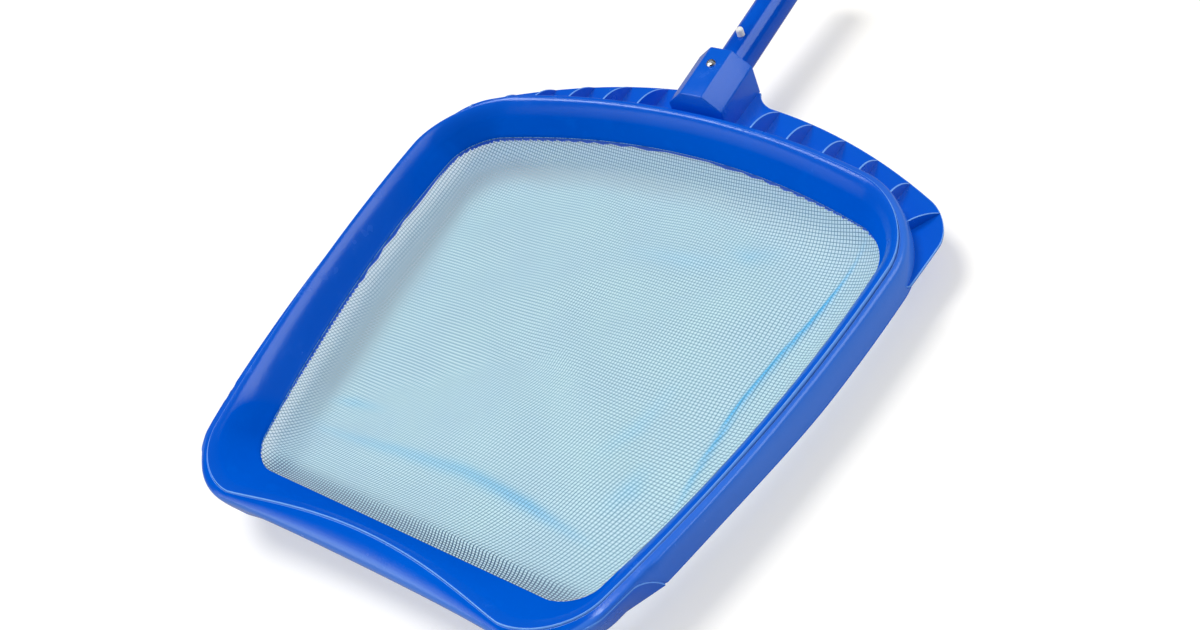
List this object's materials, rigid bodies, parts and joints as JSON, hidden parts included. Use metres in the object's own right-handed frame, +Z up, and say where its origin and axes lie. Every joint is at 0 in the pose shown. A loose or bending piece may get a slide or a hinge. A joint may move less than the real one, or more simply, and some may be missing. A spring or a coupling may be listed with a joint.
{
  "type": "leaf skimmer net",
  "caption": "Scoop-shaped pool and spa leaf skimmer head: a fine mesh bag in a clamped plastic frame with a front scoop lip, a rear pole socket and a tube with snap buttons.",
  "frame": {"origin": "on the surface the net rests on, under the middle of the overall length and width", "axes": "+X across the head, +Y from the scoop lip back towards the pole, +Z up out of the mouth of the net"},
  "size_m": [0.4478, 0.6399, 0.0778],
  "materials": {
    "frame_plastic": "satin moulded blue",
    "net_mesh": "fine woven nylon mesh, light blue",
    "tube_coating": "glossy blue coating on aluminium",
    "screw_steel": "plated screw steel",
    "clip_steel": "stainless spring strip",
    "button_plastic": "white moulded nylon"
  },
  "bodies": {
    "head": {"outer_frame": "frame_plastic", "clamp_ring": "frame_plastic", "scoop_lip": "frame_plastic", "net_bag": "net_mesh", "net_hem": "net_mesh", "ring_screws": "screw_steel", "handle_tube": "tube_coating", "socket_screw": "screw_steel", "clip_leaf": "clip_steel"},
    "upper_button": {"upper_button": "button_plastic"},
    "lower_button": {"lower_button": "button_plastic"}
  },
  "joints": [
    {"name": "upper_button_press", "type": "slide", "parent": "head", "child": "upper_button", "axis": [0, 0.0941, -0.9956], "range_m": [0, 0.0065], "stiffness_N_per_m": 900, "deforming": ["clip_leaf"]},
    {"name": "lower_button_press", "type": "slide", "parent": "head", "child": "lower_button", "axis": [0, -0.0941, 0.9956], "range_m": [0, 0.0065], "stiffness_N_per_m": 900, "deforming": ["clip_leaf"]}
  ]
}
